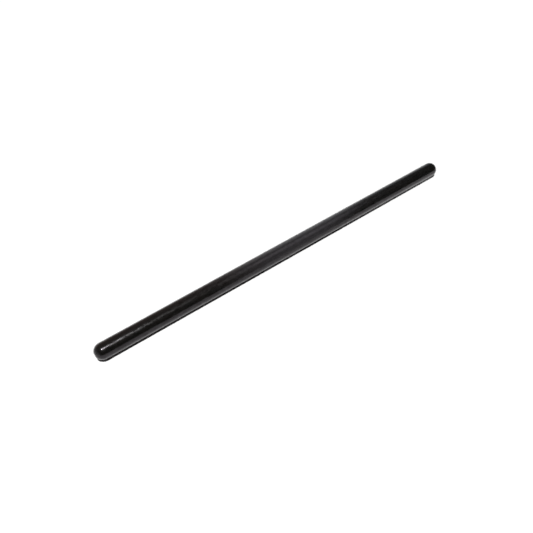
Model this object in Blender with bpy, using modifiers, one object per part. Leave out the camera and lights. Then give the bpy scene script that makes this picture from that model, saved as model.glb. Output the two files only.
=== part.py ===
"""Engine pushrod: one seamless steel tube with both ends formed into a full ball.

The rod lies along +X and its axis is the X axis. The origin is the centre of the ball at the
lifter end, and the ball at the rocker end is at +X. Sizes are in metres.

The two ends are alike. The ball has the diameter of the tube, so it meets the tube without a
neck or a step. Its tip is drilled with a chamfered oil hole, and behind the hole the wall that
was pressed into the ball closes the bore in through a smooth throat.
"""

import math

import bpy

# Sizes that are set by themselves, in metres
TUBE_DIAMETER = 0.0079375
TUBE_WALL = 0.002032
LENGTH_OVER_TIPS = 0.21336
OIL_HOLE_DIAMETER = 0.001984
OIL_HOLE_CHAMFER = 0.00025
OIL_HOLE_LAND = 0.0015
THROAT_LENGTH = 0.0045

# Sizes that follow from them. The length is the full one, tip to tip before the holes are drilled.
BALL_RADIUS = TUBE_DIAMETER / 2
BORE_RADIUS = BALL_RADIUS - TUBE_WALL
OIL_HOLE_RADIUS = OIL_HOLE_DIAMETER / 2
MOUTH_RADIUS = OIL_HOLE_RADIUS + OIL_HOLE_CHAMFER
BALL_SPACING = LENGTH_OVER_TIPS - TUBE_DIAMETER

# Fineness of the round shapes
STEPS_AROUND = 64
BALL_STEPS = 14
THROAT_STEPS = 10
SHARP_ANGLE = math.radians(30)

# Blackened and oiled steel
BLACK_OXIDE_COLOUR = (0.0075, 0.0075, 0.008, 1.0)
BLACK_OXIDE_ROUGHNESS = 0.22
BLACK_OXIDE_METALLIC = 0.0


def clear_scene():
    """Remove what a new scene starts with."""
    for item in list(bpy.data.objects):
        bpy.data.objects.remove(item, do_unlink=True)


def ball_outline():
    """Outside of an end, from the side of the tube round the ball to the mouth of the oil hole.

    A point is (radius, reach), and reach is measured from the ball's centre towards its tip.
    """
    mouth_angle = math.acos(MOUTH_RADIUS / BALL_RADIUS)
    angles = [mouth_angle * step / BALL_STEPS for step in range(BALL_STEPS + 1)]
    return [(BALL_RADIUS * math.cos(angle), BALL_RADIUS * math.sin(angle)) for angle in angles]


def passage_outline(mouth_reach):
    """Inside of an end, from the foot of the chamfer through the hole and the throat to the bore.

    The throat is half a cosine wave, so it leaves the hole and joins the bore without a corner.
    """
    chamfer_foot = mouth_reach - OIL_HOLE_CHAMFER
    throat_start = chamfer_foot - OIL_HOLE_LAND
    outline = [(OIL_HOLE_RADIUS, chamfer_foot)]
    for step in range(THROAT_STEPS + 1):
        share = step / THROAT_STEPS
        opened = (1 - math.cos(math.pi * share)) / 2
        radius = OIL_HOLE_RADIUS + (BORE_RADIUS - OIL_HOLE_RADIUS) * opened
        outline.append((radius, throat_start - THROAT_LENGTH * share))
    return outline


def rod_section():
    """Closed half section of the rod, with its axis on Z and the lifter end's ball at Z = 0.

    It runs down the outside of the tube, in through the lifter end, up the bore, and out
    through the rocker end.
    """
    ball = ball_outline()
    mouth_reach = ball[-1][1]
    end = ball + passage_outline(mouth_reach)
    lifter_end = [(radius, 0, -reach) for radius, reach in end]
    rocker_end = [(radius, 0, BALL_SPACING + reach) for radius, reach in reversed(end)]
    return lifter_end + rocker_end


def turned_mesh(name, section):
    """Turn a closed section about Z into one solid, smooth but for its sharp rings."""
    outline = bpy.data.meshes.new(name + "_section")
    count = len(section)
    edges = [(point, (point + 1) % count) for point in range(count)]
    outline.from_pydata(section, edges, [])
    profile = bpy.data.objects.new(name + "_section", outline)
    bpy.context.scene.collection.objects.link(profile)

    turn = profile.modifiers.new("turn", "SCREW")
    turn.axis = "Z"
    turn.angle = 2 * math.pi
    turn.screw_offset = 0
    turn.steps = STEPS_AROUND
    turn.render_steps = STEPS_AROUND

    evaluated = profile.evaluated_get(bpy.context.evaluated_depsgraph_get())
    mesh = bpy.data.meshes.new_from_object(evaluated)
    mesh.name = name
    mesh.shade_smooth()
    mesh.set_sharp_from_angle(angle=SHARP_ANGLE)
    bpy.data.objects.remove(profile, do_unlink=True)
    bpy.data.meshes.remove(outline)
    return mesh


def black_oxide():
    """Black oxide on steel: nearly black, glossy under a film of oil."""
    material = bpy.data.materials.new("black_oxide")
    material.use_nodes = True
    shader = material.node_tree.nodes["Principled BSDF"]
    shader.inputs["Base Color"].default_value = BLACK_OXIDE_COLOUR
    shader.inputs["Roughness"].default_value = BLACK_OXIDE_ROUGHNESS
    shader.inputs["Metallic"].default_value = BLACK_OXIDE_METALLIC
    return material


def build_pushrod():
    """Turn the rod upright and lay it down along +X."""
    parts = bpy.data.collections.new("engine_pushrod")
    bpy.context.scene.collection.children.link(parts)
    pushrod = bpy.data.objects.new("pushrod", turned_mesh("pushrod", rod_section()))
    pushrod.rotation_euler = (0, math.pi / 2, 0)
    pushrod.data.materials.append(black_oxide())
    parts.objects.link(pushrod)


clear_scene()
build_pushrod()
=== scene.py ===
# An engine pushrod: one seamless tube of chromium-molybdenum steel whose ends are formed into full
# balls and drilled for oil. It is ground, hardened and blackened in a hot oxide bath, then oiled.
# It lies on a white table under one small lamp nearly overhead, in dim surroundings.

import math

import bmesh
import bpy
from mathutils import Matrix, Vector


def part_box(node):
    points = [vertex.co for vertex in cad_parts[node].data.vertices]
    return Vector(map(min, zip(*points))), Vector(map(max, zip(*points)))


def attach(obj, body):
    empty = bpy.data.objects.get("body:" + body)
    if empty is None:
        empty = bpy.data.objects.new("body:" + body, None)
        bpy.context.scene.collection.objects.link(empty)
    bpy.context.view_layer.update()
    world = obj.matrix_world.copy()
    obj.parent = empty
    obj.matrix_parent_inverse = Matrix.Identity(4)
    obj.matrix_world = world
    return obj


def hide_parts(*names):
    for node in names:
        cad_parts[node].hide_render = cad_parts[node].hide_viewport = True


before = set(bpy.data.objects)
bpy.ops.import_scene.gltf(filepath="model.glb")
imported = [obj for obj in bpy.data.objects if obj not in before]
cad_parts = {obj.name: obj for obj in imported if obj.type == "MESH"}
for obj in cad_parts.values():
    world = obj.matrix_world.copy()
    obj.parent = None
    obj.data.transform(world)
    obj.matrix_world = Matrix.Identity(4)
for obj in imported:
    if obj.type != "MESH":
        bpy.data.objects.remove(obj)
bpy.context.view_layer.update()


# The rod. Tube and balls are one piece of steel with one turned surface, so half of its section
# is drawn from the mouth of the lifter end's oil hole to mid-length, mirrored end to end and spun
# about the rod's axis. The edges of the hole are broken so that they don't cut the cup's oil film.

rod_low, rod_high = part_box("pushrod")
TUBE_RADIUS = (rod_high.z - rod_low.z) / 2
TUBE_WALL = 0.002032
OIL_HOLE_RADIUS = 0.000992
OIL_HOLE_CHAMFER = 0.00025
OIL_HOLE_LAND = 0.0015
THROAT_LENGTH = 0.0045
BROKEN_EDGE = 0.00006

BORE_RADIUS = TUBE_RADIUS - TUBE_WALL
MOUTH_RADIUS = OIL_HOLE_RADIUS + OIL_HOLE_CHAMFER
MOUTH_REACH = math.sqrt(TUBE_RADIUS**2 - MOUTH_RADIUS**2)
MIDDLE = (rod_low.x + rod_high.x) / 2
LIFTER_BALL = rod_low.x + MOUTH_REACH
ROCKER_BALL = 2 * MIDDLE - LIFTER_BALL

STEPS_AROUND = 192
BALL_STEPS = 32
THROAT_STEPS = 8
EDGE_STEPS = 3
TUBE_BAYS = 12
SHARP_ANGLE = math.radians(35)
NEARLY_NOTHING = 1e-7


def drawn_on(shape, point, x, z):
    """Draw the section on from a point to a new one."""
    new_point = bmesh.ops.extrude_vert_indiv(shape, verts=[point])["verts"][0]
    new_point.co = (x, 0, z)
    return new_point


def swept_on(shape, point, centre, angle, steps):
    """Draw the section on from a point, along an arc about a centre."""
    swept = bmesh.ops.spin(
        shape, geom=[point], cent=centre, axis=(0, 1, 0), angle=angle, steps=steps, use_merge=False
    )
    return [item for item in swept["geom_last"] if isinstance(item, bmesh.types.BMVert)][0]


def drawn_half_section(shape):
    """Half of the rod's section above its axis, open at mid-length."""
    side = shape.verts.new((LIFTER_BALL, 0, TUBE_RADIUS))
    tube = side
    for bay in range(1, TUBE_BAYS + 1):
        tube = drawn_on(shape, tube, LIFTER_BALL + (MIDDLE - LIFTER_BALL) * bay / TUBE_BAYS, TUBE_RADIUS)

    ball_angle = math.acos(MOUTH_RADIUS / TUBE_RADIUS)
    mouth = swept_on(shape, side, (LIFTER_BALL, 0, 0), -ball_angle, BALL_STEPS)

    chamfer_foot = mouth.co.x + OIL_HOLE_CHAMFER
    hole = drawn_on(shape, mouth, chamfer_foot, OIL_HOLE_RADIUS)
    throat_start = chamfer_foot + OIL_HOLE_LAND
    throat = drawn_on(shape, hole, throat_start, OIL_HOLE_RADIUS)

    # Two equal arcs that meet in the middle carry the wall from the hole out to the bore
    throat_turn = 2 * math.atan((BORE_RADIUS - OIL_HOLE_RADIUS) / THROAT_LENGTH)
    throat_round = THROAT_LENGTH / 2 / math.sin(throat_turn)
    opening = (throat_start, 0, OIL_HOLE_RADIUS + throat_round)
    closing = (throat_start + THROAT_LENGTH, 0, BORE_RADIUS - throat_round)
    throat = swept_on(shape, throat, opening, -throat_turn, THROAT_STEPS)
    bore = swept_on(shape, throat, closing, throat_turn, THROAT_STEPS)
    drawn_on(shape, bore, MIDDLE, BORE_RADIUS)

    bmesh.ops.bevel(
        shape,
        geom=[mouth, hole],
        offset=BROKEN_EDGE,
        offset_type="OFFSET",
        segments=EDGE_STEPS,
        profile=0.5,
        affect="VERTICES",
        material=-1,
    )


def spun_rod():
    """Mesh of the whole rod."""
    shape = bmesh.new()
    drawn_half_section(shape)
    bmesh.ops.mirror(
        shape,
        geom=shape.verts[:] + shape.edges[:],
        matrix=Matrix.Translation((-MIDDLE, 0, 0)),
        merge_dist=0,
        axis="X",
    )
    bmesh.ops.remove_doubles(shape, verts=shape.verts[:], dist=NEARLY_NOTHING)
    bmesh.ops.spin(
        shape,
        geom=shape.verts[:] + shape.edges[:],
        cent=(0, 0, 0),
        axis=(1, 0, 0),
        angle=2 * math.pi,
        steps=STEPS_AROUND,
        use_merge=True,
    )
    bmesh.ops.remove_doubles(shape, verts=shape.verts[:], dist=NEARLY_NOTHING)
    bmesh.ops.recalc_face_normals(shape, faces=shape.faces[:])
    mesh = bpy.data.meshes.new("pushrod_surface")
    shape.to_mesh(mesh)
    shape.free()
    return mesh


rod = bpy.data.objects.new("pushrod_surface", spun_rod())
bpy.context.scene.collection.objects.link(rod)
rod.data.shade_smooth()
rod.data.set_sharp_from_angle(angle=SHARP_ANGLE)
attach(rod, "root")
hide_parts("pushrod")


def linear(sheet_colour):
    """Linear colour of an sRGB hex value such as "#202020"."""
    parts = [int(sheet_colour[place : place + 2], 16) / 255 for place in (1, 3, 5)]
    return [part / 12.92 if part <= 0.04045 else ((part + 0.055) / 1.055) ** 2.4 for part in parts] + [1]


def add_node(tree, kind, inputs=None, **settings):
    """Add a node with its settings, give each input its value or a link, and return the outputs."""
    node = tree.nodes.new(kind)
    for name, setting in settings.items():
        setattr(node, name, setting)
    for socket, source in (inputs or {}).items():
        if isinstance(source, bpy.types.NodeSocket):
            tree.links.new(source, node.inputs[socket])
        else:
            node.inputs[socket].default_value = source
    return node.outputs


def over(reach, levels=(0, 1)):
    """Inputs that go from one level to another while the value that they follow runs over a reach."""
    return {"From Min": reach[0], "From Max": reach[1], "To Min": levels[0], "To Max": levels[1]}


MILLIMETRE = 0.001

BROWNER = "#120f0c"
GREENER = "#0a0d0d"
STAIN_WIDTH = 2.2 * MILLIMETRE
STAIN_LENGTH = 9.0 * MILLIMETRE
STAIN_DETAIL = 3.0

# The patches' pattern runs from 0, where there is most oil, to 1, where the crystals are nearly bare
PATCH_WIDTH = 1.0 * MILLIMETRE
PATCH_LENGTH = 2.5 * MILLIMETRE
PATCH_DETAIL = 4.0
OIL_IOR = 1.35
OIL_TINT = "#fff2ff"
OIL_ROUGHNESS = over((0.4, 0.7), (0.11, 0.14))
PASSAGE_ROUGHNESS = over((TUBE_RADIUS - OIL_HOLE_CHAMFER, TUBE_RADIUS - BROKEN_EDGE), (0.45, 0))
HAZE_IOR = 1.5
HAZE_ROUGHNESS = 0.28
HAZE_WEIGHT = over((0.35, 0.65), (0.04, 0.37))

LINE_WIDTH = 0.3 * MILLIMETRE
LINE_LENGTH = 1.5 * MILLIMETRE
LINE_DEPTH = 0.03 * MILLIMETRE
RING_PITCH = 0.4 * MILLIMETRE
RING_ROUND = 4.8 * MILLIMETRE
RING_DEPTH = 0.006 * MILLIMETRE
RELIEF_DETAIL = 2.0
RELIEF_STRENGTH = over((0, TUBE_RADIUS / 2), (1, 0.15))


def black_oxide_on_steel():
    """Magnetite grown on the ground steel: nearly black, with the gloss of the oil that it holds.

    The shader's coat is the haze of the crystals, which draws the lamp out along the tube. The
    ball ends are polished, and the bore and the oil holes are as the drills and the draw left them.
    """
    material = bpy.data.materials.new("black_oxide_on_steel")
    material.use_nodes = True
    tree = material.node_tree
    shader = tree.nodes["Principled BSDF"]
    shader.inputs["Specular Tint"].default_value = linear(OIL_TINT)
    shader.inputs["IOR"].default_value = OIL_IOR
    shader.inputs["Coat Roughness"].default_value = HAZE_ROUGHNESS
    shader.inputs["Coat IOR"].default_value = HAZE_IOR

    # Where a point is: how far out past the tube, and how far from the axis or the ball's centre
    place = add_node(tree, "ShaderNodeTexCoord")["Object"]
    parts = add_node(tree, "ShaderNodeSeparateXYZ", {"Vector": place})
    tube_ends = {"Min": LIFTER_BALL, "Max": ROCKER_BALL}
    along_tube = add_node(tree, "ShaderNodeClamp", {"Value": parts["X"], **tube_ends})[0]
    beyond = add_node(tree, "ShaderNodeMath", {0: parts["X"], 1: along_tube}, operation="SUBTRACT")[0]
    past_tube = add_node(tree, "ShaderNodeMath", {0: beyond}, operation="ABSOLUTE")[0]
    spoke = add_node(tree, "ShaderNodeCombineXYZ", {"X": beyond, "Y": parts["Y"], "Z": parts["Z"]})[0]
    from_centre = add_node(tree, "ShaderNodeVectorMath", {0: spoke}, operation="LENGTH")["Value"]

    def drawn_out(width, length, detail):
        """Uneven pattern whose patches have a width and a length along the rod."""
        drawn = add_node(tree, "ShaderNodeMapping", {"Vector": place, "Scale": (width / length, 1, 1)})[0]
        fineness = {"Scale": 1 / width, "Detail": detail}
        return add_node(tree, "ShaderNodeTexNoise", {"Vector": drawn, **fineness})[0]

    # The bath leaves long faint stains, browner and greener
    stains = drawn_out(STAIN_WIDTH, STAIN_LENGTH, STAIN_DETAIL)
    stained = add_node(
        tree,
        "ShaderNodeMix",
        {"Factor": stains, "A": linear(BROWNER), "B": linear(GREENER)},
        data_type="RGBA",
    )
    tree.links.new(stained["Result"], shader.inputs["Base Color"])

    # Patches where the oil is thin are duller and hazier, and there is little oil in the passage
    patches = drawn_out(PATCH_WIDTH, PATCH_LENGTH, PATCH_DETAIL)
    on_skin = add_node(tree, "ShaderNodeMapRange", {"Value": patches, **OIL_ROUGHNESS})[0]
    in_passage = add_node(tree, "ShaderNodeMapRange", {"Value": from_centre, **PASSAGE_ROUGHNESS})[0]
    dullness = add_node(tree, "ShaderNodeMath", {0: on_skin, 1: in_passage}, operation="MAXIMUM")[0]
    haze = add_node(tree, "ShaderNodeMapRange", {"Value": patches, **HAZE_WEIGHT})[0]
    tree.links.new(dullness, shader.inputs["Roughness"])
    tree.links.new(haze, shader.inputs["Coat Weight"])

    # Fine lines along the tube from its drawing, and rings left by the grinding wheel, which are
    # 0.02 mm apart on the real rod and drawn coarser. Both are polished away towards the tips.
    strength = add_node(tree, "ShaderNodeMapRange", {"Value": past_tube, **RELIEF_STRENGTH})[0]
    for width, length, depth, socket in (
        (LINE_WIDTH, LINE_LENGTH, LINE_DEPTH, "Coat Normal"),
        (RING_ROUND, RING_PITCH, RING_DEPTH, "Normal"),
    ):
        height = drawn_out(width, length, RELIEF_DETAIL)
        relief = {"Height": height, "Strength": strength, "Distance": depth}
        tree.links.new(add_node(tree, "ShaderNodeBump", relief)[0], shader.inputs[socket])
    return material


rod.data.materials.append(black_oxide_on_steel())


# The lamp: small, a metre up and nearly over the lifter end, so it leaves a dot on the near ball, a
# thin streak along the tube and a shadow no wider than the rod that leans out past the far end.

LAMP_POWER = 43.5
LAMP_SIZE = 0.035
LAMP_DISTANCE = 1.0
LAMP_RISE = math.radians(78.6)
LAMP_LEAN = math.radians(-3.5)

lamp = bpy.data.objects.new("lamp", bpy.data.lights.new("lamp", "POINT"))
lamp.data.energy = LAMP_POWER
lamp.data.shadow_soft_size = LAMP_SIZE / 2
towards_lamp = Vector((math.sin(LAMP_LEAN), -math.cos(LAMP_RISE), math.sin(LAMP_RISE)))
lamp.location = Vector((LIFTER_BALL, 0, 0)) + LAMP_DISTANCE * towards_lamp.normalized()
bpy.context.scene.collection.objects.link(lamp)


# The table. A large sheet of white board, matt, that the rod lies on along one line. Away from the
# rod, where the lamp falls off, it is as white to the eye as under it.

TABLE_SPAN = 8.0
BOARD_COLOUR = "#fdfdfd"
BOARD_LEVEL = 1.12
LIGHT_FALL = -3

table_shape = bmesh.new()
bmesh.ops.create_grid(table_shape, x_segments=1, y_segments=1, size=TABLE_SPAN / 2)
bmesh.ops.translate(table_shape, verts=table_shape.verts[:], vec=(MIDDLE, 0, rod_low.z))
table_mesh = bpy.data.meshes.new("table")
table_shape.to_mesh(table_mesh)
table_shape.free()
table = bpy.data.objects.new("table", table_mesh)
bpy.context.scene.collection.objects.link(table)


def seen_ray(tree):
    """One for the rays that show a thing, to the camera or in a gloss, and none for its light."""
    rays = add_node(tree, "ShaderNodeLightPath")
    shown = rays["Is Camera Ray"]
    for other in ("Is Glossy Ray", "Is Transmission Ray"):
        shown = add_node(tree, "ShaderNodeMath", {0: shown, 1: rays[other]}, operation="MAXIMUM")[0]
    return shown


def white_board():
    """Matt white board, with what the lamp's falling off takes from it made good."""
    material = bpy.data.materials.new("white_board")
    material.use_nodes = True
    tree = material.node_tree
    shader = tree.nodes["Principled BSDF"]
    shader.inputs["Base Color"].default_value = linear(BOARD_COLOUR)
    shader.inputs["Roughness"].default_value = 1.0
    shader.inputs["Specular IOR Level"].default_value = 0.0
    shader.inputs["Emission Color"].default_value = linear("#ffffff")

    # The light falls with the square of the lamp's distance, and once more with the slant
    place = add_node(tree, "ShaderNodeTexCoord")["Object"]
    beam = add_node(tree, "ShaderNodeVectorMath", {0: place, 1: lamp.location}, operation="DISTANCE")["Value"]
    height = lamp.location.z - rod_low.z
    slant = add_node(tree, "ShaderNodeMath", {0: beam, 1: height}, operation="DIVIDE")[0]
    light = add_node(tree, "ShaderNodeMath", {0: slant, 1: LIGHT_FALL}, operation="POWER")[0]

    # What the board then lacks of white is added for the rays that show it
    lack = add_node(tree, "ShaderNodeMath", {0: light, 1: -BOARD_LEVEL, 2: 1}, operation="MULTIPLY_ADD")[0]
    lack = add_node(tree, "ShaderNodeMath", {0: lack, 1: 0}, operation="MAXIMUM")[0]
    shown = add_node(tree, "ShaderNodeMath", {0: lack, 1: seen_ray(tree)}, operation="MULTIPLY")[0]
    tree.links.new(shown, shader.inputs["Emission Strength"])
    return material


table.data.materials.append(white_board())


# The surroundings. Behind the rod the white sheet sweeps up and fades into a dim room, which is
# dimmer still to the right. A strip of soft light arches over the right end and lifts the middle of
# the rod. It is brightest at its crown and far foot. Only reflections take in what stands here.

# A reach is of a direction's part to the right, back or up, and a level is a share of white
ROOM_DEPTH = over((-0.8, 0.8), (0.03, 0.27))
ROOM_END = over((0.50, 0.70), (1, 0.3))
SHEET_FADE = over((0.08, 0.75), (0.90, 0))
SHEET_LEFT_SHARE = 0.75
SHEET_TURN = over((0.4, 0.7))
SHEET_SHADE = over((0.10, 0.35), (0.7, 1))
STRIP_SPREAD = over((-0.60, 0.40), (0, 0.025))
STRIP_START = over((0.265, 0.385), (0, 0.84))
STRIP_END = over((0.495, 0.56), (1, 0))
CROWN_LIFT = 1.9
CROWN_RISE = over((-0.60, -0.24), (1, CROWN_LIFT))
CROWN_FALL = over((-0.06, 0.30), (1, 1 / CROWN_LIFT))
FOOT_RISE = over((0.35, 0.80), (1, 1.6))
FILL_LEVEL = 0.02
WARM_BACK = "#ffe8de"
COLD_SIDES = "#fafdff"
COLD_RIGHT = over((0.15, 0.45))
COLD_LEFT = over((0.35, 0.60))
SOFTLY = {"interpolation_type": "SMOOTHSTEP"}

world = bpy.data.worlds.new("surroundings")
world.use_nodes = True
bpy.context.scene.world = world
sky = world.node_tree

direction = add_node(sky, "ShaderNodeTexCoord")["Generated"]
parts = add_node(sky, "ShaderNodeSeparateXYZ", {"Vector": direction})
right, back, up = (parts[axis] for axis in "XYZ")
left = add_node(sky, "ShaderNodeMath", {0: right, 1: -SHEET_LEFT_SHARE}, operation="MULTIPLY")[0]

# The dim room
depth = add_node(sky, "ShaderNodeMapRange", {"Value": back, **ROOM_DEPTH})[0]
dimmed = add_node(sky, "ShaderNodeMapRange", {"Value": right, **ROOM_END}, **SOFTLY)[0]
room = add_node(sky, "ShaderNodeMath", {0: depth, 1: dimmed}, operation="MULTIPLY")[0]

# The sheet, which turns up at the back and to the left
turned = add_node(sky, "ShaderNodeMath", {0: back, 1: left}, operation="MAXIMUM")[0]
sheet = add_node(sky, "ShaderNodeMapRange", {"Value": up, **SHEET_FADE})[0]
for followed, edge in ((turned, SHEET_TURN), (right, SHEET_SHADE)):
    share = add_node(sky, "ShaderNodeMapRange", {"Value": followed, **edge}, **SOFTLY)[0]
    sheet = add_node(sky, "ShaderNodeMath", {0: sheet, 1: share}, operation="MULTIPLY")[0]

# The strip, which is wider at the back than in front
spread = add_node(sky, "ShaderNodeMapRange", {"Value": back, **STRIP_SPREAD}, **SOFTLY)[0]
near_side = add_node(sky, "ShaderNodeMath", {0: right, 1: spread}, operation="ADD")[0]
far_side = add_node(sky, "ShaderNodeMath", {0: right, 1: spread}, operation="SUBTRACT")[0]
strip = add_node(sky, "ShaderNodeMapRange", {"Value": near_side, **STRIP_START}, **SOFTLY)[0]
for followed, edge in ((far_side, STRIP_END), (back, CROWN_RISE), (back, CROWN_FALL), (back, FOOT_RISE)):
    share = add_node(sky, "ShaderNodeMapRange", {"Value": followed, **edge}, **SOFTLY)[0]
    strip = add_node(sky, "ShaderNodeMath", {0: strip, 1: share}, operation="MULTIPLY")[0]

# Rays that show nothing take in a faint even fill instead
seen = room
for other in (sheet, strip):
    seen = add_node(sky, "ShaderNodeMath", {0: seen, 1: other}, operation="MAXIMUM")[0]
filled = {"Factor": seen_ray(sky), "A": FILL_LEVEL, "B": seen}
level = add_node(sky, "ShaderNodeMix", filled, data_type="FLOAT")[0]

# The room is warm behind the rod, and the light from either side is a little cold
cold_right = add_node(sky, "ShaderNodeMapRange", {"Value": right, **COLD_RIGHT}, **SOFTLY)[0]
cold_left = add_node(sky, "ShaderNodeMapRange", {"Value": left, **COLD_LEFT}, **SOFTLY)[0]
cold = add_node(sky, "ShaderNodeMath", {0: cold_right, 1: cold_left}, operation="MAXIMUM")[0]
hues = {"Factor": cold, "A": linear(WARM_BACK), "B": linear(COLD_SIDES)}
hue = add_node(sky, "ShaderNodeMix", hues, data_type="RGBA")["Result"]

# Straight in front of the camera a white backdrop hides all of it
direct = add_node(sky, "ShaderNodeLightPath")["Is Camera Ray"]
hues = {"Factor": direct, "A": hue, "B": linear("#ffffff")}
shown_hue = add_node(sky, "ShaderNodeMix", hues, data_type="RGBA")["Result"]
shown_level = add_node(sky, "ShaderNodeMath", {0: level, 1: direct}, operation="MAXIMUM")[0]
backdrop = sky.nodes["Background"]
sky.links.new(shown_hue, backdrop.inputs["Color"])
sky.links.new(shown_level, backdrop.inputs["Strength"])


# The camera, where the photograph was taken from: in front of the lifter end and above it, about
# 0.24 m away, and turned along the rod.

CAMERA_PLACE = (-0.007079, -0.131829, 0.195356)
CAMERA_HEADING = math.radians(54.172)
CAMERA_PITCH = math.radians(50.964)
CAMERA_LENS = 34.306
CAMERA_CLIP = 0.005

camera = bpy.data.objects.new("camera", bpy.data.cameras.new("camera"))
camera.data.lens = CAMERA_LENS
camera.data.clip_start = CAMERA_CLIP
camera.location = CAMERA_PLACE
camera.rotation_euler = (math.pi / 2 - CAMERA_PITCH, 0, CAMERA_HEADING - math.pi / 2)
bpy.context.scene.collection.objects.link(camera)
bpy.context.scene.camera = camera

bpy.context.scene.view_settings.view_transform = "Standard"
